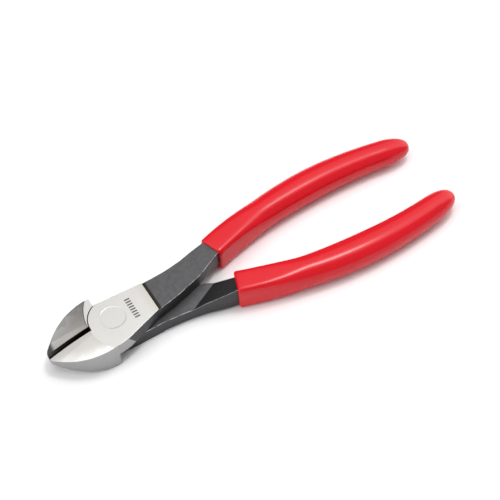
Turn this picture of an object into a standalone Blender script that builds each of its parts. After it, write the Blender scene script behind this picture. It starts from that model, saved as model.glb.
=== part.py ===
"""Diagonal cutting pliers: two lap-jointed levers, a flush rivet and two dipped grips.

Frame: metres, +Z up along the rivet's axis, with Z = 0 on the joint's underside. X is the tool's long
axis, with the nose towards -X and the handles towards +X. The jaws are closed and the cutting edges
meet on the plane Y = 0. The two levers are one forging used twice, the second turned half a turn
about X through the joint's middle plane, and so are the two grips.
"""

import math

import bmesh
import bpy
from mathutils import Matrix, Vector

MM = 0.001

# Driving dimensions, in millimetres

# The joint
JOINT_THICKNESS = 12.4
GAP = 0.3  # left between any two pieces
PAD_RADIUS = 10.0  # round nose of each lever's lap pad, about the pivot
PAD_END_X = 17.3  # where the ground pad ends and the handle begins
PAD_RELIEF = 0.5  # the handle's faces lie this far under the pad's
SHOULDER_WALL = 3.3  # the jaw's width outside the other lever's pad
RIVET_RADIUS = 3.6
RIVET_FLARE = 1.2  # the countersunk head's radius, over the shank's
RIVET_HEAD_DEPTH = 1.2

# The jaws
NOSE_LENGTH = 28.9  # pivot to tip
NOSE_HALF_WIDTH = 1.6  # half of the blunt tip
NOSE_THICKNESS = 2.2
HEAD_WIDEST_X = -7.2
FLANK_X = 1.0  # the head's straight side runs from here to the pad's end
GRIND_MARGIN = 0.6  # pad's nose to the edge of the ground jaw face, along the cutting line
GRIND_PLAN_RADIUS = 21.8  # that edge is an arc of this radius
GRIND_SLOPE = 0.18  # the face's slope where it starts
EDGE_GROOVE_WIDTH = 2.2  # across the two cutting bevels
EDGE_GROOVE_DEPTH = 2.2  # at the joint
EDGE_LAND = 0.8  # metal left between the upper and lower bevels, at the tip

# The handles
HANDLE_RADIUS = 184.0  # of the bowed centreline, in plan
HANDLE_APEX_X = 111.0  # where the handles are furthest apart
HANDLE_HALF_SPAN = 20.8  # centreline to the plane Y = 0, there
TANG_BLEND_X = 38.0  # from here the handle follows its arc
TANG_HALF_WIDTH = 5.7  # at the blend
TANG_WAIST = (3.75, 9.55)  # inner and outer edges from the plane Y = 0, halfway along the tang
CORE_HALF_WIDTH = 4.2  # where the grip starts
CORE_END_HALF_WIDTH = 3.2
CORE_TAPER = 0.02  # fall of the handle's flat faces, per millimetre of length
RECESS_INNER = (4.4, -2.3)  # ends of the line where the lap's recess stops, from the blend's centre
RECESS_OUTER = (-8.1, 4.4)
RAMP_SLOPE = 0.417  # rise of the handle from the recess to its full thickness

# The grips
GRIP_START_X = 50.0
GRIP_END_X = 152.0
GRIP_FRONT_WALL = 1.2  # beside the handle
GRIP_MIDDLE_WALL = 2.9
GRIP_END_WALL = 2.1
GRIP_END_THINNING = 1.0  # fall of each broad face at the rear
GRIP_FRONT_SQUARENESS = 6.0  # exponent of the section's superellipse
GRIP_END_SQUARENESS = 2.3
GRIP_ROUNDING = 12.0  # length of the rounded end
GRIP_END_CLEARANCE = 1.0  # the handle ends this far into the rounded end

# Worked out from those
MID_Z = JOINT_THICKNESS / 2
LAP_Z = MID_Z + GAP / 2  # underside of the upper lever's pad
PAD_OUTER_Y = 0.88 * PAD_RADIUS  # the pad's far side, where the handle begins
PAD_CORNER_Y = 0.94 * PAD_RADIUS  # and where its round nose ends
PAD_INNER_Y = 0.62 * PAD_RADIUS
SHOULDER_X = -0.43 * PAD_RADIUS  # rear end of the full-thickness jaw, which stops the opening
HEAD_HALF_WIDTH = PAD_RADIUS + SHOULDER_WALL
GRIND_START = PAD_RADIUS + GRIND_MARGIN
HANDLE_END_X = GRIP_END_X - GRIP_ROUNDING + GRIP_END_CLEARANCE

# The jaw's edge: shares of the way from the tip to the widest place, and of the half width there
JAW_CURVE = ((0.03, 0.21), (0.21, 0.49), (0.38, 0.70), (0.60, 0.88), (0.84, 0.98), (1.0, 1.0))
SHOULDER_SHARE = 0.99  # of the half width, at the shoulder
FLANK_SHARE = 0.92  # and at the flank's start

# Drafting
FAR = 40.0  # past every outer face, for cutters
OVERRUN = 1.0  # how far a cutter passes the face it opens through
CURVE_STEPS = 8  # segments between two points of a smooth outline
ROUND_STEPS = 48  # segments of a full turn
GRIND_STEPS = 8
HANDLE_STEPS = 12
GRIP_STEPS = 16
GRIP_ROUND_STEPS = 7
GRIP_SIDES = 28

parts = None
cutters = None


def clear_scene():
    """Removes whatever the file held."""
    for thing in list(bpy.data.objects):
        bpy.data.objects.remove(thing, do_unlink=True)


def new_collection(name):
    """Makes a collection under the scene's own."""
    made = bpy.data.collections.new(name)
    bpy.context.scene.collection.children.link(made)
    return made


def material(name, colour, roughness, metallic):
    """A Principled material."""
    made = bpy.data.materials.new(name)
    made.use_nodes = True
    shader = made.node_tree.nodes["Principled BSDF"]
    shader.inputs["Base Color"].default_value = (*colour, 1.0)
    shader.inputs["Roughness"].default_value = roughness
    shader.inputs["Metallic"].default_value = metallic
    made.diffuse_color = (*colour, 1.0)
    return made


def place(name, mesh, home):
    """Makes an object of a mesh in the given collection."""
    made = bpy.data.objects.new(name, mesh)
    home.objects.link(made)
    if home is cutters:
        made.hide_render = True
        made.display_type = "WIRE"
    return made


def turned_over(thing):
    """Turns an object half a turn about X, through the joint's middle plane."""
    middle = Matrix.Translation((0, 0, MID_Z * MM))
    thing.matrix_world = middle @ Matrix.Rotation(math.pi, 4, "X") @ middle.inverted() @ thing.matrix_world
    return thing


def both_faces(tool):
    """A cutter, and its copy for the other face."""
    return [tool, turned_over(place(tool.name + "_under", tool.data.copy(), cutters))]


def smooth_through(points):
    """Points of a Catmull-Rom curve through the given ones."""
    given = [Vector(point) for point in points]
    ends = [given[0]] + given + [given[-1]]
    curve = []
    for p, q, r, s in zip(ends, ends[1:], ends[2:], ends[3:]):
        for step in range(CURVE_STEPS):
            t = step / CURVE_STEPS
            square, cube = 2 * p - 5 * q + 4 * r - s, 3 * q - p - 3 * r + s
            curve.append(tuple(0.5 * (2 * q + (r - p) * t + square * t**2 + cube * t**3)))
    return curve + [tuple(given[-1])]


def arc(radius, start, end, steps):
    """Points on an arc about the pivot, between two angles in degrees."""
    angles = [math.radians(start + (end - start) * i / steps) for i in range(steps + 1)]
    return [(radius * math.cos(a), radius * math.sin(a)) for a in angles]


def slab(name, outline, low, high, home):
    """A flat plate: a plan outline extruded between two heights."""
    curve = bpy.data.curves.new(name, "CURVE")
    curve.dimensions = "2D"
    curve.fill_mode = "BOTH"
    curve.extrude = (high - low) / 2 * MM
    spline = curve.splines.new("POLY")
    spline.points.add(len(outline) - 1)
    for point, (x, y) in zip(spline.points, outline):
        point.co = (x * MM, y * MM, 0, 1)
    spline.use_cyclic_u = True
    drawn = place(name + "_outline", curve, cutters)
    drawn.location.z = (low + high) / 2 * MM
    bpy.context.view_layer.update()
    mesh = bpy.data.meshes.new_from_object(drawn.evaluated_get(bpy.context.evaluated_depsgraph_get()))
    mesh.transform(drawn.matrix_world)
    bpy.data.objects.remove(drawn, do_unlink=True)
    bm = bmesh.new()
    bm.from_mesh(mesh)
    bmesh.ops.remove_doubles(bm, verts=bm.verts, dist=1e-6)
    bmesh.ops.recalc_face_normals(bm, faces=bm.faces)
    bm.to_mesh(mesh)
    bm.free()
    return place(name, mesh, home)


def turned(name, profile, centre_x, home):
    """A turned solid: a profile of (radius, height) swept about an upright axis.

    A profile that starts and ends on the axis is left open there, and any other is closed.
    """
    mesh = bpy.data.meshes.new(name)
    bm = bmesh.new()
    corners = [bm.verts.new((r * MM, 0, z * MM)) for r, z in profile]
    onward = corners[1:] if profile[0][0] == 0 else corners[1:] + corners[:1]
    for here, there in zip(corners, onward):
        bm.edges.new((here, there))
    bm.to_mesh(mesh)
    bm.free()
    made = place(name, mesh, home)
    made.location.x = centre_x * MM
    screw = made.modifiers.new("turn", "SCREW")
    screw.axis = "Z"
    screw.steps = screw.render_steps = ROUND_STEPS
    screw.use_merge_vertices = True
    screw.merge_threshold = 1e-6
    screw.use_smooth_shade = False
    return settled(made)


def hull(name, points, home):
    """The convex solid round a few points."""
    mesh = bpy.data.meshes.new(name)
    bm = bmesh.new()
    for point in points:
        bm.verts.new(Vector(point) * MM)
    bmesh.ops.convex_hull(bm, input=bm.verts)
    bmesh.ops.recalc_face_normals(bm, faces=bm.faces)
    bm.to_mesh(mesh)
    bm.free()
    return place(name, mesh, home)


def skin(name, sections, home):
    """The solid through a run of sections, each with the same number of points."""
    mesh = bpy.data.meshes.new(name)
    bm = bmesh.new()
    rings = [[bm.verts.new(Vector(point) * MM) for point in section] for section in sections]
    for near, far in zip(rings, rings[1:]):
        for i in range(len(near)):
            j = (i + 1) % len(near)
            bm.faces.new((near[i], near[j], far[j], far[i]))
    bm.faces.new(rings[0])
    bm.faces.new(rings[-1])
    bmesh.ops.recalc_face_normals(bm, faces=bm.faces)
    bm.to_mesh(mesh)
    bm.free()
    return place(name, mesh, home)


def settled(thing):
    """Applies an object's modifiers and its place."""
    bpy.context.view_layer.update()
    mesh = bpy.data.meshes.new_from_object(thing.evaluated_get(bpy.context.evaluated_depsgraph_get()))
    mesh.transform(thing.matrix_world)
    bm = bmesh.new()
    bm.from_mesh(mesh)
    bmesh.ops.remove_doubles(bm, verts=bm.verts, dist=1e-6)
    bmesh.ops.recalc_face_normals(bm, faces=bm.faces)
    bm.to_mesh(mesh)
    bm.free()
    thing.modifiers.clear()
    thing.data = mesh
    thing.matrix_world = Matrix()
    return thing


def combine(target, tool, operation="DIFFERENCE"):
    """Adds a Boolean to the target."""
    boolean = target.modifiers.new(tool.name, "BOOLEAN")
    boolean.object = tool
    boolean.operation = operation
    boolean.solver = "EXACT"


def finished(thing, finish):
    """Applies an object's Booleans and gives it its material."""
    settled(thing)
    thing.data.materials.clear()
    thing.data.materials.append(finish)
    return thing


# The handle's centreline and widths


def handle_y(x):
    """Distance of the handle's arc from the plane Y = 0."""
    return HANDLE_HALF_SPAN - HANDLE_RADIUS + math.sqrt(HANDLE_RADIUS**2 - (x - HANDLE_APEX_X) ** 2)


def handle_normal(x):
    """Unit normal of the handle's arc, away from the plane Y = 0."""
    side = (x - HANDLE_APEX_X) / HANDLE_RADIUS
    return side, math.sqrt(1 - side**2)


def core_half_width(x):
    """Half the width of the forged handle: one taper up to the grip, and another inside it."""
    if x < GRIP_START_X:
        share = (x - TANG_BLEND_X) / (GRIP_START_X - TANG_BLEND_X)
        return TANG_HALF_WIDTH + (CORE_HALF_WIDTH - TANG_HALF_WIDTH) * share
    share = (x - GRIP_START_X) / (HANDLE_END_X - GRIP_START_X)
    return CORE_HALF_WIDTH + (CORE_END_HALF_WIDTH - CORE_HALF_WIDTH) * share


def beside_handle(x, offset):
    """A plan point beside the handle's arc."""
    nx, ny = handle_normal(x)
    return x + nx * offset, handle_y(x) + ny * offset


def handle_stations():
    """Where the handle's outline has its points: more of them near the grip's start."""
    step = (HANDLE_END_X - GRIP_START_X) / HANDLE_STEPS
    first = [TANG_BLEND_X, (TANG_BLEND_X + GRIP_START_X) / 2]
    return first + [GRIP_START_X + step * i for i in range(HANDLE_STEPS + 1)]


# The lever


def jaw_edge():
    """The jaw's outer edge in plan, from the tip to the joint, on the side Y < 0."""
    tip = -NOSE_LENGTH
    jaw = [(tip + (HEAD_WIDEST_X - tip) * along, -HEAD_HALF_WIDTH * across) for along, across in JAW_CURVE]
    rear = [(SHOULDER_X, -HEAD_HALF_WIDTH * SHOULDER_SHARE), (FLANK_X, -HEAD_HALF_WIDTH * FLANK_SHARE)]
    return [(tip, -NOSE_HALF_WIDTH)] + smooth_through(jaw + rear)


def lever_outline(grow=0.0):
    """The whole lever in plan: jaw at Y < 0, pad round the pivot, handle at Y > 0."""
    cut_line = (-NOSE_LENGTH, -GAP / 2)
    edge_angle = math.degrees(math.asin(GAP / 2 / PAD_RADIUS))
    corner_angle = math.degrees(math.asin(PAD_CORNER_Y / PAD_RADIUS))
    nose = arc(PAD_RADIUS, 180 + edge_angle, 180 - corner_angle, ROUND_STEPS // 4)
    waist_x = (PAD_END_X + TANG_BLEND_X) / 2
    waist_inner, waist_outer = TANG_WAIST
    outer = smooth_through([
        (PAD_END_X, PAD_OUTER_Y),
        (waist_x, waist_outer),
        beside_handle(TANG_BLEND_X, TANG_HALF_WIDTH + grow),
    ])[:-1]
    out = [beside_handle(x, core_half_width(x) + grow) for x in handle_stations()]
    back = [beside_handle(x, -core_half_width(x) - grow) for x in reversed(handle_stations())]
    inner = smooth_through([
        beside_handle(TANG_BLEND_X, -TANG_HALF_WIDTH - grow),
        (waist_x, -waist_inner),
        (PAD_END_X, -PAD_INNER_Y),
    ])[1:]
    out[-1] = (HANDLE_END_X + grow, out[-1][1])
    back[0] = (HANDLE_END_X + grow, back[0][1])
    return [cut_line] + nose + outer + out + back + inner + list(reversed(jaw_edge()))


def recess_line():
    """The two ends of the line where the lap's recess stops."""
    centre = Vector((TANG_BLEND_X, handle_y(TANG_BLEND_X)))
    return centre + Vector(RECESS_INNER), centre + Vector(RECESS_OUTER)


def lap_recess(shrink=0.0):
    """Cutter for the half-thickness lap, from the jaw's shoulder to the line where the recess stops."""
    clear = PAD_RADIUS + GAP
    corner = math.degrees(math.acos(-SHOULDER_X / clear))
    nose = arc(clear, 180 + corner, 180 - corner, ROUND_STEPS // 2)
    inner, outer = recess_line()
    along = (outer - inner).normalized() * HEAD_HALF_WIDTH
    low, high = inner - along, outer + along
    outline = [(SHOULDER_X, -FAR)] + nose
    outline += [(SHOULDER_X, FAR), (high.x, FAR), tuple(high), tuple(low), (low.x, -FAR)]
    return slab("lap_recess", outline, -FAR, LAP_Z - shrink, cutters)


def ramp(shrink=0.0):
    """Cutter that takes the handle's underside from the recess to its full thickness."""
    inner, outer = (point.to_3d() for point in recess_line())
    along = (outer - inner).normalized() * FAR
    away = Vector((-along.y, along.x, 0)).normalized()
    if away.x < 0:
        away = -away
    length = LAP_Z / RAMP_SLOPE
    top = LAP_Z - shrink
    rows = [(-GAP, top), (0, top), (length, top - length * RAMP_SLOPE), (length, -FAR), (-GAP, -FAR)]
    points = []
    for end in (inner - along, outer + along):
        points += [end + away * s + Vector((0, 0, z)) for s, z in rows]
    return hull("handle_ramp", points, cutters)


def handle_taper(grow=0.0):
    """Cutter for the handle's flat upper face: just under the pad's, and falling towards the end."""
    start = JOINT_THICKNESS - PAD_RELIEF + grow
    end_x = HANDLE_END_X + FAR
    end = start - CORE_TAPER * (end_x - PAD_END_X)
    points = []
    for y in (-FAR, FAR):
        points += [(PAD_END_X, y, start), (end_x, y, end), (end_x, y, FAR), (PAD_END_X, y, FAR)]
    return hull("handle_taper", points, cutters)


def grind_drop(distance):
    """Fall of the ground face under the pad's, at a distance from the pivot along the cutting line."""
    run = NOSE_LENGTH - GRIND_START
    at_nose = (JOINT_THICKNESS - NOSE_THICKNESS) / 2
    bend = (at_nose - GRIND_SLOPE * run) / run**2
    beyond = distance - GRIND_START
    return GRIND_SLOPE * beyond + bend * beyond**2


def jaw_grind():
    """Cutter for the ground upper face of the jaws: a shallow dome that falls to the tip."""
    centre = GRIND_PLAN_RADIUS - GRIND_START
    first, last = GRIND_START - OVERRUN, NOSE_LENGTH + GRIND_MARGIN + OVERRUN
    above = JOINT_THICKNESS + FAR
    places = [GRIND_START + (last - GRIND_START) * i / GRIND_STEPS for i in range(GRIND_STEPS + 1)]
    face = [(centre + d, JOINT_THICKNESS - grind_drop(d)) for d in places]
    lead_in = (centre + first, JOINT_THICKNESS + GRIND_SLOPE * OVERRUN)
    profile = [lead_in] + face + [(centre + last, above), (centre + first, above)]
    dome = turned("jaw_grind", profile, centre, cutters)
    front = slab("grind_front", [(-FAR, -FAR), (0, -FAR), (0, FAR), (-FAR, FAR)], -FAR, above + FAR, cutters)
    combine(dome, front, "INTERSECT")
    return settled(dome)


def edge_groove():
    """Cutter for the cutting bevels: a V of even width that follows the ground face to the tip."""
    nose_depth = (NOSE_THICKNESS - EDGE_LAND) / 2
    sections = []
    for i in range(GRIND_STEPS + 1):
        distance = PAD_RADIUS + (NOSE_LENGTH + OVERRUN - PAD_RADIUS) * i / GRIND_STEPS
        share = (distance - PAD_RADIUS) / (NOSE_LENGTH - PAD_RADIUS)
        depth = EDGE_GROOVE_DEPTH + (nose_depth - EDGE_GROOVE_DEPTH) * share
        half = EDGE_GROOVE_WIDTH / 2 * (depth + OVERRUN) / depth
        face = JOINT_THICKNESS - max(0.0, grind_drop(distance))
        corners = ((-half, face + OVERRUN), (half, face + OVERRUN), (0, face - depth))
        sections.append([(-distance, y, z) for y, z in corners])
    return skin("edge_groove", sections, cutters)


def rivet_profile(clearance=0.0, overrun=0.0):
    """The rivet's section, flush at both ends; with a clearance all round it, that of its hole."""
    flare = RIVET_FLARE / RIVET_HEAD_DEPTH
    shank = RIVET_RADIUS + clearance
    head = RIVET_RADIUS + RIVET_FLARE + clearance * math.hypot(1, flare) + overrun * flare
    depth = (head - shank) / flare
    low, high = -overrun, JOINT_THICKNESS + overrun
    return [(0, high), (head, high), (shank, high - depth), (shank, low + depth), (head, low), (0, low)]


def lever(name, finish):
    """One forged lever, as it lies on top in the joint."""
    made = slab(name, lever_outline(), 0, JOINT_THICKNESS, parts)
    hole = turned("rivet_hole", rivet_profile(GAP, OVERRUN), 0, cutters)
    tools = [lap_recess(), ramp(), *both_faces(handle_taper())]
    tools += [*both_faces(jaw_grind()), *both_faces(edge_groove()), hole]
    for tool in tools:
        combine(made, tool)
    return finished(made, finish)


# The grips


def blend(a, b, share):
    """Smooth step between two values."""
    s = max(0.0, min(1.0, share))
    return a + (b - a) * s * s * (3 - 2 * s)


def grip_section(x):
    """Half width, half height and squareness of the grip at a place along it.

    Its front and middle are as thick as the joint, so the tool lies flat.
    """
    middle_x = (GRIP_START_X + GRIP_END_X) / 2
    to_middle = (x - GRIP_START_X) / (middle_x - GRIP_START_X)
    to_end = (x - middle_x) / (GRIP_END_X - middle_x)
    front = CORE_HALF_WIDTH + GAP + GRIP_FRONT_WALL
    middle = core_half_width(middle_x) + GAP + GRIP_MIDDLE_WALL
    end = CORE_END_HALF_WIDTH + GAP + GRIP_END_WALL
    width = blend(front, middle, to_middle) + blend(0, end - middle, to_end)
    height = MID_Z - blend(0, GRIP_END_THINNING, to_end)
    return width, height, blend(GRIP_FRONT_SQUARENESS, GRIP_END_SQUARENESS, to_middle * 0.8)


def grip_stations():
    """Places along the grip with the share of the full section left there, for its rounded end."""
    straight_end = GRIP_END_X - GRIP_ROUNDING
    step = (straight_end - GRIP_START_X) / GRIP_STEPS
    rows = [(GRIP_START_X + step * i, 1.0) for i in range(GRIP_STEPS + 1)]
    for i in range(1, GRIP_ROUND_STEPS + 1):
        angle = math.pi / 2 * i / (GRIP_ROUND_STEPS + 0.35)  # short of a point, so the end is a small flat
        rows.append((straight_end + GRIP_ROUNDING * math.sin(angle), math.cos(angle) ** 0.8))
    return rows


def superellipse(angle, half_width, half_height, squareness):
    """A point of a section between an ellipse and a rectangle."""
    across = math.copysign(abs(math.cos(angle)) ** (2 / squareness), math.cos(angle)) * half_width
    up = math.copysign(abs(math.sin(angle)) ** (2 / squareness), math.sin(angle)) * half_height
    return across, up


def grip_body(name):
    """The sleeve's outer shape, lofted along the handle's arc."""
    sections = []
    for x, share in grip_stations():
        width, height, squareness = grip_section(x)
        section = []
        for i in range(GRIP_SIDES):
            angle = 2 * math.pi * (i + 0.5) / GRIP_SIDES
            across, up = superellipse(angle, width * share, height * share, squareness)
            section.append((*beside_handle(x, across), MID_Z + up))
        sections.append(section)
    return skin(name, sections, parts)


def grip(name, finish):
    """One dipped sleeve over the upper lever's handle, closed at its rear end."""
    made = grip_body(name)
    bore = slab("grip_bore", lever_outline(GAP), -GAP, JOINT_THICKNESS + GAP, cutters)
    for tool in (lap_recess(GAP), ramp(GAP), *both_faces(handle_taper(GAP))):
        combine(bore, tool)
    combine(made, settled(bore))
    return finished(made, finish)


def copy_below(source, name):
    """The same forging or sleeve, turned over for the other side."""
    return turned_over(place(name, source.data, parts))


def shade(thing, angle):
    """Smooth shading with sharp edges past an angle."""
    thing.data.shade_smooth()
    thing.data.set_sharp_from_angle(angle=math.radians(angle))


def main():
    """Builds the pliers."""
    global parts, cutters
    clear_scene()
    parts = new_collection("diagonal_cutting_pliers")
    cutters = new_collection("cutters")
    steel = material("blackened_steel", (0.09, 0.09, 0.095), 0.45, 0.6)
    bright = material("ground_steel", (0.72, 0.72, 0.70), 0.25, 1.0)
    vinyl = material("red_vinyl", (0.72, 0.012, 0.02), 0.28, 0.0)
    upper = lever("upper_lever", steel)
    copy_below(upper, "lower_lever")
    upper_grip = grip("upper_lever_grip", vinyl)
    copy_below(upper_grip, "lower_lever_grip")
    rivet = finished(turned("pivot_rivet", rivet_profile(), 0, parts), bright)
    for thing, angle in ((upper, 25), (upper_grip, 40), (rivet, 30)):
        shade(thing, angle)
    pivot = bpy.data.objects.new("pivot", None)
    parts.objects.link(pivot)
    for thing in (upper, upper_grip):
        thing.parent = pivot


if __name__ == "__main__":
    main()
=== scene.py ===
"""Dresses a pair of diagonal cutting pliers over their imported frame.

The levers are ground bright at the head and blackened behind it, with softened and slightly rubbed
edges. The grips are dipped glossy vinyl. Lengths in the classes are in millimetres.
"""

import logging
import math
from dataclasses import dataclass, field
from enum import Enum

import bmesh
import bpy
from mathutils import Matrix, Vector


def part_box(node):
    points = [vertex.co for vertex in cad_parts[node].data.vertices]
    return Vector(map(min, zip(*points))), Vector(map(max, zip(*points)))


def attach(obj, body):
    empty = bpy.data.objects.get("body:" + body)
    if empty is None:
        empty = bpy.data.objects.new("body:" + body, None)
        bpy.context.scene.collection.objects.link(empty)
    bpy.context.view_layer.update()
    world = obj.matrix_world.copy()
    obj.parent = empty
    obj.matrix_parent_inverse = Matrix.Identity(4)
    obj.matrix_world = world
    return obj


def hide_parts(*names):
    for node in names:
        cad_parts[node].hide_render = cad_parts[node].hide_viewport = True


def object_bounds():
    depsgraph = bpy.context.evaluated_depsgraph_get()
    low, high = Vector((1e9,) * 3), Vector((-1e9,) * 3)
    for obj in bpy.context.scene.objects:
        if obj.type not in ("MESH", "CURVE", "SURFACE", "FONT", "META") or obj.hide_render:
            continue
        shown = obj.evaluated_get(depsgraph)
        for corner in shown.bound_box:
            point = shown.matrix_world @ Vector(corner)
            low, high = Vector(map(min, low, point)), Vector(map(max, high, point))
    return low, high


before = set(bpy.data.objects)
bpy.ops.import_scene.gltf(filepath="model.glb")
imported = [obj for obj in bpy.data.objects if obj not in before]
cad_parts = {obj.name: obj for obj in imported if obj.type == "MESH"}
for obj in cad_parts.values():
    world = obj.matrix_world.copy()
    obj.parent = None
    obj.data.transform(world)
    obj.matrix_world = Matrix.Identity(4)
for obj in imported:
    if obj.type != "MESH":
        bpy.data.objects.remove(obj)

MM = 0.001
log = logging.getLogger("pliers")
cad_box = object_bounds()


class Half(Enum):
    """The two halves of the tool, by the body each belongs to."""

    UPPER = "upper_half"
    LOWER = "lower_half"

    @property
    def lever_node(self) -> str:
        """Name of the forged lever in this half."""
        return self.value.replace("half", "lever")

    @property
    def grip_node(self) -> str:
        """Name of the grip in this half."""
        return self.lever_node + "_grip"

    @property
    def turn(self) -> float:
        """Sign of Y and Z, as the lower half is the upper one turned over."""
        return 1.0 if self is Half.UPPER else -1.0


def joint_thickness() -> float:
    """Returns: the joint's thickness in millimetres, read from the rivet."""
    low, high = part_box("pivot_rivet")
    return (high.z - low.z) / MM


class NodeSheet:
    """A material's node tree, with short ways to write on it."""

    def __init__(self, name: str) -> None:
        """Starts a material with a Principled shader.

        Args:
            name: the material's name.
        """
        self.material = bpy.data.materials.new(name)
        self.material.use_nodes = True
        self.tree = self.material.node_tree
        self.shader = self.tree.nodes["Principled BSDF"]

    def add(self, kind: str, **settings: object) -> bpy.types.Node:
        """Adds a node.

        Args:
            kind: the node's type, without its ShaderNode prefix.
            settings: attributes to set on it.

        Returns:
            The node.
        """
        node = self.tree.nodes.new("ShaderNode" + kind)
        for key, value in settings.items():
            setattr(node, key, value)
        return node

    def put(self, value: object, socket: bpy.types.NodeSocket) -> None:
        """Gives a socket a link or a value."""
        if isinstance(value, bpy.types.NodeSocket):
            self.tree.links.new(value, socket)
        else:
            socket.default_value = value

    def calc(self, operation: str, *values: object) -> bpy.types.NodeSocket:
        """Arithmetic on sockets and numbers.

        Args:
            operation: a Math node's operation.
            values: its operands.

        Returns:
            The result.
        """
        node = self.add("Math", operation=operation)
        for value, socket in zip(values, node.inputs):
            self.put(value, socket)
        return node.outputs[0]

    def rise(self, value: bpy.types.NodeSocket, low: float, high: float) -> bpy.types.NodeSocket:
        """A smooth step from 0 at low to 1 at high."""
        node = self.add("MapRange", interpolation_type="SMOOTHSTEP")
        for amount, key in ((value, "Value"), (low, "From Min"), (high, "From Max")):
            self.put(amount, node.inputs[key])
        return node.outputs["Result"]

    def noise(self, place: bpy.types.NodeSocket, scale: float, detail: float) -> bpy.types.NodeSocket:
        """Noise, from 0 to 1.

        Args:
            place: the coordinates to read it at.
            scale: how many features there are per unit of those.
            detail: how many finer layers it has.

        Returns:
            The noise.
        """
        node = self.add("TexNoise")
        self.put(place, node.inputs["Vector"])
        node.inputs["Scale"].default_value = scale
        node.inputs["Detail"].default_value = detail
        return node.outputs["Fac"]

    def stretched(self, place: bpy.types.NodeSocket, scale: tuple[float, float, float]) -> bpy.types.NodeSocket:
        """Coordinates multiplied along each axis."""
        node = self.add("Mapping")
        self.put(place, node.inputs["Vector"])
        node.inputs["Scale"].default_value = scale
        return node.outputs["Vector"]

    def blend(self, share: object, first: object, second: object) -> bpy.types.NodeSocket:
        """A colour between two others."""
        node = self.add("Mix", data_type="RGBA")
        for value, socket in zip((share, first, second), (node.inputs[0], node.inputs[6], node.inputs[7])):
            self.put(value, socket)
        return node.outputs[2]

    def between(self, share: object, first: object, second: object) -> bpy.types.NodeSocket:
        """A number between two others."""
        node = self.add("Mix", data_type="FLOAT")
        for value, socket in zip((share, first, second), node.inputs[:1] + node.inputs[2:4]):
            self.put(value, socket)
        return node.outputs[0]

    def emboss(self, height: bpy.types.NodeSocket, depth_mm: float) -> None:
        """Adds relief to the surface.

        Args:
            height: the relief, from 0 to 1.
            depth_mm: what 1 stands for.
        """
        bump = self.add("Bump")
        bump.inputs["Distance"].default_value = depth_mm * MM
        self.put(height, bump.inputs["Height"])
        self.put(bump.outputs["Normal"], self.shader.inputs["Normal"])


def colour(red: float, green: float, blue: float) -> tuple[float, float, float, float]:
    """An opaque linear colour."""
    return red, green, blue, 1.0


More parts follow.
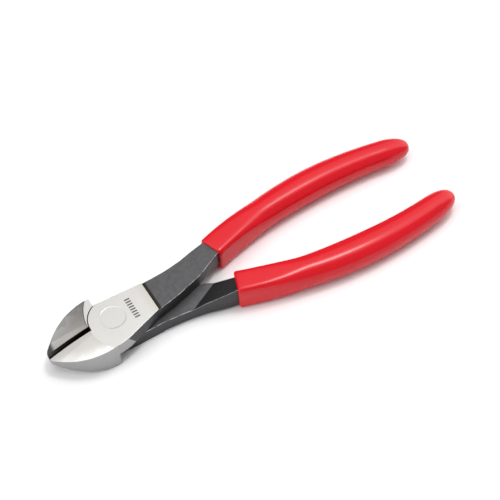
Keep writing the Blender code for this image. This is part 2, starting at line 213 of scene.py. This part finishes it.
@dataclass(frozen=True)
class ForgedSteel:
    """A lever's finish: ground head, blackened handle and dark cutting bevels whose dark is painted shade, with more
    painted shade on the head and handle and a painted highlight on the jaw rim.
    """

    pad_end: float = 17.3
    flank_end: float = 0.6
    flank_slant: float = 0.55
    grind_centre: float = 11.2
    grind_radius: float = 21.8
    pad_radius: float = 10.3
    gap_radius: float = 10.15
    widest_x: float = -7.2
    nose_x: float = -28.9
    head_half_width: float = 13.3
    bevel_half_width: float = 1.16
    bright: tuple[float, float, float, float] = colour(0.745, 0.737, 0.71)
    jaw: tuple[float, float, float, float] = colour(0.65, 0.63, 0.60)
    # Painted highlight colour for the jaw's outer rim.
    painted_rim_highlight: tuple[float, float, float, float] = colour(0.84, 0.835, 0.82)
    wall: tuple[float, float, float, float] = colour(0.355, 0.35, 0.35)
    black: tuple[float, float, float, float] = colour(0.130, 0.130, 0.133)
    rubbed: tuple[float, float, float, float] = colour(0.62, 0.62, 0.63)
    # Forge-scale colour for the mottle and grain, also used as painted shade on the handle's upright sides.
    scale: tuple[float, float, float, float] = colour(0.052, 0.052, 0.056)
    # Near-black painted shade colour for the cutting grooves and for the step behind the pad.
    bevel: tuple[float, float, float, float] = colour(0.034, 0.029, 0.025)
    mark: tuple[float, float, float, float] = colour(0.17, 0.155, 0.135)
    # Painted shade colour for the crease at the grinding step and the gap round the pad's nose.
    painted_line_shade: tuple[float, float, float, float] = colour(0.085, 0.07, 0.055)
    # Painted shade colour for the jaw face next to the grinding step.
    painted_jaw_shade: tuple[float, float, float, float] = colour(0.30, 0.275, 0.255)
    straw: tuple[float, float, float, float] = colour(0.60, 0.555, 0.47)

    def material(self, half: Half, worn: bool) -> bpy.types.Material:
        """Writes the finish.

        Args:
            half: the half it is for, which says how the forging lies.
            worn: whether it is for the rounded edges, which are rubbed lighter.

        Returns:
            The material.
        """
        sheet = NodeSheet(f"forged_steel_{half.name.lower()}{'_edges' if worn else ''}")
        spot, up = self._forging_place(sheet, half)
        split = sheet.add("SeparateXYZ")
        sheet.put(spot, split.inputs[0])
        x, y, z = split.outputs
        black = self._blackened(sheet, x, z, up)
        bevel = self._cutting_bevel(sheet, x, y)
        ground = self._ground_jaw(sheet, x, y)
        grain = sheet.noise(spot, 2.2, 5.0)
        lines = self._grinding_lines(sheet, spot, x, y, ground)
        # Painted highlight: the jaw is lightened towards its outer rim.
        jaw = sheet.blend(self._painted_rim_highlight(sheet, x, y), self.jaw, self.painted_rim_highlight)
        recess_side = sheet.rise(up, -0.3, -0.6)
        reach = self._grind_reach(sheet, x, y)
        # Painted shade: on the recess side, which lies on top on the lower lever, the jaw is darkened towards the
        # grinding step.
        jaw_shade_near_step = sheet.calc("MULTIPLY", sheet.rise(reach, self.grind_radius + 9.0, self.grind_radius), recess_side)
        jaw = sheet.blend(sheet.calc("MULTIPLY", jaw_shade_near_step, 0.55), jaw, self.painted_jaw_shade)
        pad = sheet.blend(sheet.calc("MULTIPLY", sheet.rise(x, 12.5, self.pad_end), 0.45), self.bright, self.straw)
        head = sheet.blend(ground, pad, jaw)
        # Painted shade: a dark line along the crease where the ground jaw meets the pad, on the recess side.
        off_step = sheet.calc("ABSOLUTE", sheet.calc("SUBTRACT", reach, self.grind_radius))
        crease_shade = sheet.calc("MULTIPLY", sheet.rise(off_step, 0.34, 0.08), recess_side)
        head = sheet.blend(sheet.calc("MULTIPLY", crease_shade, 0.75), head, self.painted_line_shade)
        head = sheet.blend(sheet.calc("MULTIPLY", lines, 0.22), head, colour(0.52, 0.51, 0.49))
        smudge = sheet.rise(sheet.noise(spot, 0.16, 3.0), 0.42, 0.70)
        head = sheet.blend(sheet.calc("MULTIPLY", smudge, 0.10), head, self.straw)
        head = sheet.blend(sheet.rise(sheet.calc("ABSOLUTE", up), 0.62, 0.4), head, self.wall)
        # Painted shade along the gap round the pad's nose.
        head = sheet.blend(self._painted_gap_shade(sheet, x, y), head, self.painted_line_shade)
        if half is Half.UPPER:
            marks = self._marks(sheet, x, y, z)
            head = sheet.blend(marks, head, self.mark)
        mottle = sheet.rise(sheet.noise(spot, 0.55, 6.0), 0.30, 0.74)
        rub = sheet.rise(sheet.noise(spot, 0.6, 4.0), 0.30, 0.62)
        surface = sheet.blend(rub, self.black, self.rubbed) if worn else self.black
        handle = sheet.blend(sheet.calc("MULTIPLY", mottle, 0.30), surface, self.scale)
        # Painted shade: on the plain finish, the handle's upright sides are darkened towards the scale colour.
        if not worn:
            upright = sheet.rise(sheet.calc("ABSOLUTE", up), 0.85, 0.55)
            handle = sheet.blend(sheet.calc("MULTIPLY", upright, 0.60), handle, self.scale)
        handle = sheet.blend(sheet.calc("MULTIPLY", grain, 0.30), handle, self.scale)
        # Painted shadow: the tang's top is darkened in a band just behind the pad's end, where the step casts its
        # shade.
        painted_step_shadow = sheet.calc("MULTIPLY", sheet.rise(x, self.pad_end + 1.9, self.pad_end + 1.0),
                                 sheet.rise(up, 0.7, 0.9))
        handle = sheet.blend(painted_step_shadow, handle, self.bevel)
        # The cutting bevels take the near-black painted shade, standing in for the shade and dark reflection in the
        # groove.
        whole = sheet.blend(black, sheet.blend(bevel, head, self.bevel), handle)
        sheet.put(whole, sheet.shader.inputs["Base Color"])
        head_roughness = sheet.calc("MULTIPLY_ADD", lines, 0.10, 0.24)
        handle_roughness = sheet.calc("MULTIPLY_ADD", grain, 0.16, 0.34)
        sheet.put(sheet.between(black, head_roughness, handle_roughness), sheet.shader.inputs["Roughness"])
        sheet.shader.inputs["Metallic"].default_value = 1.0
        sheet.emboss(sheet.between(black, sheet.calc("MULTIPLY", lines, 0.25), grain), 0.018)
        return sheet.material

    def _forging_place(self, sheet: NodeSheet, half: Half) -> tuple[bpy.types.NodeSocket, bpy.types.NodeSocket]:
        """Coordinates in millimetres of the forging as it lies on top.

        Returns:
            The place, and the part of the surface's normal that points up.
        """
        source = sheet.add("TexCoord")
        mapping = sheet.add("Mapping")
        sheet.put(source.outputs["Object"], mapping.inputs["Vector"])
        per_mm = 1 / MM
        mapping.inputs["Scale"].default_value = (per_mm, half.turn * per_mm, half.turn * per_mm)
        mapping.inputs["Location"].default_value = (0, 0, 0 if half is Half.UPPER else joint_thickness())
        normal = sheet.add("SeparateXYZ")
        sheet.put(source.outputs["Normal"], normal.inputs[0])
        return mapping.outputs["Vector"], sheet.calc("MULTIPLY", normal.outputs["Z"], half.turn)

    def _blackened(self, sheet: NodeSheet, x: bpy.types.NodeSocket, z: bpy.types.NodeSocket,
                   up: bpy.types.NodeSocket) -> bpy.types.NodeSocket:
        """Where the forging is black: its handle, the flanks beside the pad, and the lap face."""
        handle = sheet.rise(x, self.pad_end - 0.05, self.pad_end + 0.05)
        flank_x = sheet.calc("MULTIPLY_ADD", z, -self.flank_slant, self.flank_end + self.flank_slant * joint_thickness())
        behind = sheet.rise(sheet.calc("SUBTRACT", x, flank_x), -0.12, 0.12)
        upright = sheet.rise(sheet.calc("ABSOLUTE", up), 0.75, 0.45)
        flank = sheet.calc("MULTIPLY", behind, upright)
        lap = sheet.calc("MULTIPLY", sheet.rise(up, -0.5, -0.9), sheet.rise(z, joint_thickness() * 0.3,
                                                                          joint_thickness() * 0.35))
        return sheet.calc("MAXIMUM", handle, sheet.calc("MAXIMUM", flank, lap))

    def _cutting_bevel(self, sheet: NodeSheet, x: bpy.types.NodeSocket,
                       y: bpy.types.NodeSocket) -> bpy.types.NodeSocket:
        """Where the hardened cutting bevels are, which are painted near-black as painted shade and painted reflection
        of the deep groove.
        """
        near_line = sheet.rise(sheet.calc("ABSOLUTE", y), self.bevel_half_width + 0.03, self.bevel_half_width - 0.03)
        ahead = sheet.rise(x, -self.pad_radius + 0.4, -self.pad_radius + 0.3)
        return sheet.calc("MULTIPLY", near_line, ahead)

    def _ground_jaw(self, sheet: NodeSheet, x: bpy.types.NodeSocket,
                    y: bpy.types.NodeSocket) -> bpy.types.NodeSocket:
        """Where the jaw's face is ground down below the pad."""
        reach = self._grind_reach(sheet, x, y)
        return sheet.rise(reach, self.grind_radius - 0.1, self.grind_radius + 0.1)

    def _grind_reach(self, sheet: NodeSheet, x: bpy.types.NodeSocket,
                     y: bpy.types.NodeSocket) -> bpy.types.NodeSocket:
        """Distance from the axis that the jaw faces are ground about."""
        along = sheet.calc("SUBTRACT", x, self.grind_centre)
        squares = sheet.calc("ADD", sheet.calc("MULTIPLY", along, along), sheet.calc("MULTIPLY", y, y))
        return sheet.calc("SQRT", squares)

    def _grinding_lines(self, sheet: NodeSheet, spot: bpy.types.NodeSocket, x: bpy.types.NodeSocket,
                        y: bpy.types.NodeSocket, ground: bpy.types.NodeSocket) -> bpy.types.NodeSocket:
        """Fine wheel marks: straight across the pad, and arcs on the jaws."""
        across = sheet.noise(sheet.stretched(spot, (14.0, 0.35, 1.0)), 1.0, 3.0)
        turn = sheet.add("CombineXYZ")
        sheet.put(self._grind_reach(sheet, x, y), turn.inputs[0])
        sheet.put(sheet.calc("ARCTAN2", y, sheet.calc("SUBTRACT", self.grind_centre, x)), turn.inputs[1])
        arcs = sheet.noise(sheet.stretched(turn.outputs[0], (12.0, 5.0, 1.0)), 1.0, 3.0)
        return sheet.between(ground, across, arcs)

    def _painted_rim_highlight(self, sheet: NodeSheet, x: bpy.types.NodeSocket,
                 y: bpy.types.NodeSocket) -> bpy.types.NodeSocket:
        """Where the jaw gets a painted highlight, lighter towards its outer edge."""
        along = sheet.calc("DIVIDE", sheet.calc("SUBTRACT", x, self.widest_x), self.nose_x - self.widest_x)
        across = sheet.calc("DIVIDE", y, self.head_half_width)
        squares = sheet.calc("ADD", sheet.calc("MULTIPLY", along, along), sheet.calc("MULTIPLY", across, across))
        outward = sheet.rise(sheet.calc("ABSOLUTE", y), 1.6, 5.5)
        return sheet.calc("MULTIPLY", sheet.rise(sheet.calc("SQRT", squares), 0.58, 0.95), outward)

    def _painted_gap_shade(self, sheet: NodeSheet, x: bpy.types.NodeSocket,
                    y: bpy.types.NodeSocket) -> bpy.types.NodeSocket:
        """Where a painted shade line darkens the edges of the gap round the pad's nose."""
        squares = sheet.calc("ADD", sheet.calc("MULTIPLY", x, x), sheet.calc("MULTIPLY", y, y))
        off_gap = sheet.calc("ABSOLUTE", sheet.calc("SUBTRACT", sheet.calc("SQRT", squares), self.gap_radius))
        near_gap = sheet.rise(off_gap, 0.42, 0.22)
        ahead = sheet.rise(x, -2.5, -3.5)
        free_side = sheet.rise(y, -1.0, -0.2)
        return sheet.calc("MULTIPLY", near_gap, sheet.calc("MULTIPLY", ahead, free_side))

    def _marks(self, sheet: NodeSheet, x: bpy.types.NodeSocket, y: bpy.types.NodeSocket,
               z: bpy.types.NodeSocket) -> bpy.types.NodeSocket:
        """A plain row of short etched strokes across the pad, with no letters."""
        row_x, row_half, stroke_half, pitch = 8.6, 5.4, 1.15, 1.35
        in_row = sheet.rise(sheet.calc("ABSOLUTE", y), row_half + 0.05, row_half - 0.05)
        offset = sheet.calc("ABSOLUTE", sheet.calc("SUBTRACT", x, row_x))
        in_stroke = sheet.rise(offset, stroke_half + 0.06, stroke_half - 0.06)
        step = sheet.calc("FRACT", sheet.calc("DIVIDE", sheet.calc("ADD", y, 100 * pitch), pitch))
        stroke = sheet.rise(sheet.calc("ABSOLUTE", sheet.calc("SUBTRACT", step, 0.5)), 0.30, 0.24)
        on_top = sheet.rise(z, joint_thickness() - 0.3, joint_thickness() - 0.1)
        area = sheet.calc("MULTIPLY", sheet.calc("MULTIPLY", in_row, in_stroke), on_top)
        return sheet.calc("MULTIPLY", area, stroke)


@dataclass(frozen=True)
class DippedVinyl:
    """Glossy red vinyl with a faint ripple left by the dipping."""

    red: tuple[float, float, float, float] = colour(0.72, 0.006, 0.016)
    deep: tuple[float, float, float, float] = colour(0.63, 0.004, 0.012)

    def material(self) -> bpy.types.Material:
        """Returns: the finish."""
        sheet = NodeSheet("dipped_vinyl")
        place = sheet.add("TexCoord").outputs["Object"]
        ripple = sheet.noise(sheet.stretched(place, (60.0, 160.0, 160.0)), 1.0, 2.0)
        speck = sheet.noise(place, 2600.0, 2.0)
        sheet.put(sheet.blend(ripple, self.red, self.deep), sheet.shader.inputs["Base Color"])
        sheet.put(sheet.calc("MULTIPLY_ADD", speck, 0.06, 0.19), sheet.shader.inputs["Roughness"])
        sheet.shader.inputs["IOR"].default_value = 1.42
        sheet.emboss(ripple, 0.05)
        return sheet.material


@dataclass(frozen=True)
class RivetSteel:
    """Ground steel with the faint rings of a faced rivet."""

    steel: tuple[float, float, float, float] = colour(0.735, 0.727, 0.70)

    def material(self) -> bpy.types.Material:
        """Returns: the finish."""
        sheet = NodeSheet("rivet_steel")
        place = sheet.add("TexCoord").outputs["Object"]
        lines = sheet.noise(sheet.stretched(place, (14000.0, 350.0, 1000.0)), 1.0, 3.0)
        rings = sheet.add("TexWave", wave_type="RINGS", rings_direction="Z")
        sheet.put(place, rings.inputs["Vector"])
        rings.inputs["Scale"].default_value = 600.0
        shade = sheet.calc("MULTIPLY_ADD", rings.outputs["Fac"], 0.04, sheet.calc("MULTIPLY", lines, 0.20))
        sheet.put(sheet.blend(shade, self.steel, colour(0.50, 0.49, 0.47)), sheet.shader.inputs["Base Color"])
        sheet.put(sheet.calc("MULTIPLY_ADD", lines, 0.10, 0.24), sheet.shader.inputs["Roughness"])
        sheet.shader.inputs["Metallic"].default_value = 1.0
        return sheet.material


@dataclass
class Lever:
    """One forged lever, with the sharp edges behind its jaw softened."""

    half: Half
    finish: ForgedSteel = field(default_factory=ForgedSteel)
    edge_radius: float = 0.12
    edge_steps: int = 2
    sharp_angle: float = 28.0
    flat_angle: float = 0.4
    soften_from_x: float = -4.0
    crease_angle: float = 14.0

    def build(self) -> bpy.types.Object:
        """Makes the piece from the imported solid.

        Returns:
            The lever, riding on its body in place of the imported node.
        """
        piece = bpy.data.objects.new(f"{self.half.lever_node}_forging", self._clean_mesh())
        bpy.context.scene.collection.objects.link(piece)
        piece.data.materials.clear()
        piece.data.materials.append(self.finish.material(self.half, worn=False))
        piece.data.materials.append(self.finish.material(self.half, worn=True))
        self._soften(piece)
        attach(piece, self.half.value)
        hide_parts(self.half.lever_node)
        log.info("%s: %d faces", piece.name, len(piece.data.polygons))
        return piece

    def _clean_mesh(self) -> bpy.types.Mesh:
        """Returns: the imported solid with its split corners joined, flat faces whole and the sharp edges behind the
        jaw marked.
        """
        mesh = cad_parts[self.half.lever_node].data.copy()
        bm = bmesh.new()
        bm.from_mesh(mesh)
        bmesh.ops.remove_doubles(bm, verts=bm.verts, dist=0.004 * MM)
        bmesh.ops.dissolve_limit(bm, angle_limit=math.radians(self.flat_angle), verts=bm.verts, edges=bm.edges)
        weight = bm.edges.layers.float.new("bevel_weight_edge")
        for edge in bm.edges:
            edge[weight] = float(self._has_room(edge))
        bm.to_mesh(mesh)
        bm.free()
        return mesh

    def _has_room(self, edge: bmesh.types.BMEdge) -> bool:
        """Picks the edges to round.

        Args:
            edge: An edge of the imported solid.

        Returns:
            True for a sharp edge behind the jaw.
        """
        sharp = edge.is_manifold and edge.calc_face_angle() >= math.radians(self.sharp_angle)
        return sharp and min(vertex.co.x for vertex in edge.verts) > self.soften_from_x * MM

    def _soften(self, piece: bpy.types.Object) -> None:
        """Rounds the marked edges and shades the rest smooth."""
        bevel = piece.modifiers.new("edges", "BEVEL")
        bevel.width = self.edge_radius * MM
        bevel.segments = self.edge_steps
        bevel.limit_method = "WEIGHT"
        bevel.use_clamp_overlap = False
        bevel.material = 1
        bevel.miter_outer = "MITER_ARC"
        bpy.context.view_layer.update()
        piece.data = bpy.data.meshes.new_from_object(piece.evaluated_get(bpy.context.evaluated_depsgraph_get()))
        piece.modifiers.clear()
        piece.data.shade_smooth()
        piece.data.set_sharp_from_angle(angle=math.radians(self.crease_angle))
        weigh = piece.modifiers.new("shading", "WEIGHTED_NORMAL")
        weigh.keep_sharp = True


@dataclass
class Grip:
    """One dipped sleeve: boxy in front, oval behind, and closed at its rounded end."""

    half: Half
    finish: bpy.types.Material
    arc_radius: float = 184.0
    apex_x: float = 111.0
    half_span: float = 20.8
    start_x: float = 50.0
    end_x: float = 152.0
    front_width: float = 5.7
    middle_width: float = 6.85
    end_width: float = 5.6
    end_thinning: float = 1.0
    front_squareness: float = 6.0
    end_squareness: float = 2.3
    softening: float = 1.7
    rounding: float = 12.0
    lip: float = 0.9
    sides: int = 64
    steps: int = 56
    round_steps: int = 16
    lip_steps: int = 5

    def build(self) -> bpy.types.Object:
        """Lofts the sleeve.

        Returns:
            The grip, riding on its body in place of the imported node.
        """
        mesh = bpy.data.meshes.new(f"{self.half.grip_node}_sleeve")
        bm = bmesh.new()
        rings = [[bm.verts.new(point) for point in self._ring(*row)] for row in self._rows()]
        for near, far in zip(rings, rings[1:]):
            for i in range(self.sides):
                j = (i + 1) % self.sides
                bm.faces.new((near[i], near[j], far[j], far[i]))
        bm.faces.new(rings[0])
        bm.faces.new(rings[-1])
        bmesh.ops.recalc_face_normals(bm, faces=bm.faces)
        bm.to_mesh(mesh)
        bm.free()
        mesh.materials.append(self.finish)
        mesh.shade_smooth()
        piece = bpy.data.objects.new(mesh.name, mesh)
        bpy.context.scene.collection.objects.link(piece)
        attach(piece, self.half.value)
        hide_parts(self.half.grip_node)
        log.info("%s: %d faces", piece.name, len(mesh.polygons))
        return piece

    def _rows(self) -> list[tuple[float, float, float]]:
        """Returns: rows of place along the grip, share of the section left, and inset from it."""
        rows = []
        for i in range(self.lip_steps):
            angle = math.pi / 2 * i / self.lip_steps
            rows.append((self.start_x + self.lip * (1 - math.cos(angle)), 1.0, self.lip * (1 - math.sin(angle))))
        straight = self.end_x - self.rounding
        first = self.start_x + self.lip
        rows += [(first + (straight - first) * i / self.steps, 1.0, 0.0) for i in range(self.steps + 1)]
        for i in range(1, self.round_steps + 1):
            angle = math.pi / 2 * i / (self.round_steps + 0.5)
            rows.append((straight + self.rounding * math.sin(angle), math.cos(angle) ** 0.8, 0.0))
        return rows

    def _ring(self, x: float, share: float, inset: float) -> list[Vector]:
        """The section at a place along the grip.

        Args:
            x: the place.
            share: how much of the full section is left there.
            inset: how far it stands in from that section.

        Returns:
            Its points, in metres.
        """
        width, height, squareness = self._section(x)
        width, height = width * share - inset, height * share - inset
        lean = (x - self.apex_x) / self.arc_radius
        out = math.sqrt(1 - lean**2)
        middle_y = self.half_span - self.arc_radius + self.arc_radius * out
        middle_z = joint_thickness() / 2
        turn = self.half.turn
        points = []
        for i in range(self.sides):
            angle = 2 * math.pi * i / self.sides
            across = math.copysign(abs(math.cos(angle)) ** (2 / squareness), math.cos(angle)) * width
            up = math.copysign(abs(math.sin(angle)) ** (2 / squareness), math.sin(angle)) * height
            points.append(Vector((x + lean * across, turn * (middle_y + out * across), middle_z + turn * up)) * MM)
        return points

    def _section(self, x: float) -> tuple[float, float, float]:
        """Half width, half height and squareness of the full section."""
        middle_x = (self.start_x + self.end_x) / 2
        to_middle = (x - self.start_x) / (middle_x - self.start_x)
        to_end = (x - middle_x) / (self.end_x - middle_x)
        width = self.front_width + (self.middle_width - self.front_width) * self._ease(to_middle)
        width += (self.end_width - self.middle_width) * self._ease(to_end)
        height = joint_thickness() / 2 - self.end_thinning * self._ease(to_end)
        soft = self.front_squareness + (self.end_squareness - self.front_squareness) * self._ease(to_middle * self.softening)
        return width, height, soft

    @staticmethod
    def _ease(share: float) -> float:
        """A smooth step from 0 to 1."""
        held = max(0.0, min(1.0, share))
        return held * held * (3 - 2 * held)


@dataclass
class Rivet:
    """The flush rivet, with the lip that setting it spreads into the countersink."""

    finish: bpy.types.Material
    inner: float = 4.7
    outer: float = 5.18
    depth: float = 0.35
    below_flush: float = 0.01
    steps: int = 96

    def build(self) -> None:
        """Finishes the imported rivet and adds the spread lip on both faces."""
        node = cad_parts["pivot_rivet"]
        node.data.materials.clear()
        node.data.materials.append(self.finish)
        top = joint_thickness()
        for name, outside, inside in (("upper", top - self.below_flush, top - self.depth),
                                      ("lower", self.below_flush, self.depth)):
            self._lip(name, outside, inside)

    def _lip(self, name: str, outside: float, inside: float) -> None:
        """A thin flush ring.

        Args:
            name: which face it is on.
            outside: height of its flush face.
            inside: height of its hidden face.
        """
        mesh = bpy.data.meshes.new(f"rivet_lip_{name}")
        bm = bmesh.new()
        slope = self.outer - abs(outside - inside)
        profile = [(self.inner, outside), (self.outer, outside), (slope, inside), (self.inner, inside)]
        rings = []
        for i in range(self.steps):
            angle = 2 * math.pi * i / self.steps
            rings.append([bm.verts.new(Vector((r * math.cos(angle), r * math.sin(angle), z)) * MM) for r, z in profile])
        for i, here in enumerate(rings):
            there = rings[(i + 1) % self.steps]
            for a in range(4):
                b = (a + 1) % 4
                bm.faces.new((here[a], here[b], there[b], there[a]))
        bmesh.ops.recalc_face_normals(bm, faces=bm.faces)
        bm.to_mesh(mesh)
        bm.free()
        mesh.materials.append(self.finish)
        piece = bpy.data.objects.new(mesh.name, mesh)
        bpy.context.scene.collection.objects.link(piece)
        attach(piece, Half.LOWER.value)
        log.info("%s: %d faces", piece.name, len(mesh.polygons))


@dataclass
class Studio:
    """A white table under a broad overhead light, and the camera."""

    aim: tuple[float, float, float] = (67.0, 8.29, 0.0)
    azimuth: float = -26.98
    elevation: float = 52.18
    roll: float = -4.46
    distance: float = 563.1
    lens: float = 96.9
    key_direction: tuple[float, float, float] = (0.28, 0.07, 0.957)
    key_distance: float = 0.9
    key_size: float = 0.20
    key_power: float = 1.8
    front: float = 0.36
    softbox: float = 1.85
    overhead: float = 1.15
    backdrop: float = 0.17
    ceiling_skew: float = 0.10
    paper: tuple[float, float, float, float] = colour(0.95, 0.95, 0.955)

    def build(self) -> None:
        """Sets the table, the lights and the camera."""
        self._floor()
        self._sky()
        self._key()
        self._camera()
        bpy.context.scene.view_settings.view_transform = "Standard"
        log.info("studio set")

    def _floor(self) -> None:
        """A plain pale sheet at the height that the tool lies at."""
        mesh = bpy.data.meshes.new("table")
        reach = 3.0
        corners = [(-reach, -reach, 0), (reach, -reach, 0), (reach, reach, 0), (-reach, reach, 0)]
        mesh.from_pydata(corners, [], [(0, 1, 2, 3)])
        sheet = NodeSheet("paper")
        fibre = sheet.noise(sheet.add("TexCoord").outputs["Object"], 900.0, 2.0)
        sheet.put(sheet.blend(fibre, self.paper, colour(0.93, 0.93, 0.935)), sheet.shader.inputs["Base Color"])
        sheet.shader.inputs["Roughness"].default_value = 0.7
        mesh.materials.append(sheet.material)
        floor = bpy.data.objects.new("table", mesh)
        floor.location.z = cad_box[0].z - 0.02 * MM
        bpy.context.scene.collection.objects.link(floor)

    def _sky(self) -> None:
        """A broad softbox overhead, with a plain ceiling behind it that darkens to the back."""
        world = bpy.data.worlds.new("studio")
        bpy.context.scene.world = world
        world.use_nodes = True
        tree = world.node_tree
        source = tree.nodes.new("ShaderNodeTexCoord")
        split = tree.nodes.new("ShaderNodeSeparateXYZ")
        tree.links.new(source.outputs["Generated"], split.inputs[0])
        lean = tree.nodes.new("ShaderNodeMath")
        lean.operation = "MULTIPLY_ADD"
        lean.inputs[1].default_value = -self.ceiling_skew
        tree.links.new(split.outputs["X"], lean.inputs[0])
        tree.links.new(split.outputs["Y"], lean.inputs[2])
        level = self.front
        for low, high, beyond in ((-0.34, -0.19, self.softbox), (0.26, 0.43, self.overhead), (0.53, 0.73, self.backdrop)):
            edge = tree.nodes.new("ShaderNodeMapRange")
            edge.interpolation_type = "SMOOTHSTEP"
            for key, value in (("From Min", low), ("From Max", high), ("To Max", beyond)):
                edge.inputs[key].default_value = value
            if isinstance(level, float):
                edge.inputs["To Min"].default_value = level
            else:
                tree.links.new(level, edge.inputs["To Min"])
            tree.links.new(lean.outputs[0], edge.inputs["Value"])
            level = edge.outputs["Result"]
        tree.links.new(level, tree.nodes["Background"].inputs["Strength"])
        tree.nodes["Background"].inputs["Color"].default_value = colour(1.0, 1.0, 1.0)

    def _key(self) -> None:
        """A softer spot of light, high and slightly behind."""
        light = bpy.data.lights.new("key", "AREA")
        light.shape = "DISK"
        light.size = self.key_size
        light.energy = self.key_power
        lamp = bpy.data.objects.new("key", light)
        direction = Vector(self.key_direction).normalized()
        lamp.location = Vector(self.aim) * MM + direction * self.key_distance
        lamp.rotation_euler = direction.to_track_quat("Z", "Y").to_euler()
        bpy.context.scene.collection.objects.link(lamp)

    def _camera(self) -> None:
        """A long lens, looking down from beyond the nose."""
        turn, lift, roll = (math.radians(a) for a in (self.azimuth, self.elevation, self.roll))
        back = Vector((math.sin(turn) * math.cos(lift), -math.cos(turn) * math.cos(lift), math.sin(lift)))
        right = Vector((math.cos(turn), math.sin(turn), 0))
        up = back.cross(right)
        across = math.cos(roll) * right + math.sin(roll) * up
        over = -math.sin(roll) * right + math.cos(roll) * up
        data = bpy.data.cameras.new("camera")
        data.lens = self.lens
        data.clip_start, data.clip_end = 0.01, 20.0
        camera = bpy.data.objects.new("camera", data)
        rotation = Matrix((across, over, back)).transposed().to_4x4()
        camera.matrix_world = Matrix.Translation((Vector(self.aim) + back * self.distance) * MM) @ rotation
        bpy.context.scene.collection.objects.link(camera)
        bpy.context.scene.camera = camera


def main() -> None:
    """Builds each sub-assembly in order."""
    logging.basicConfig(level=logging.INFO, format="%(name)s: %(message)s")
    vinyl = DippedVinyl().material()
    for half in Half:
        Lever(half).build()
        Grip(half, vinyl).build()
    Rivet(RivetSteel().material()).build()
    Studio().build()
    bpy.context.view_layer.update()


if __name__ == "__main__":
    main()
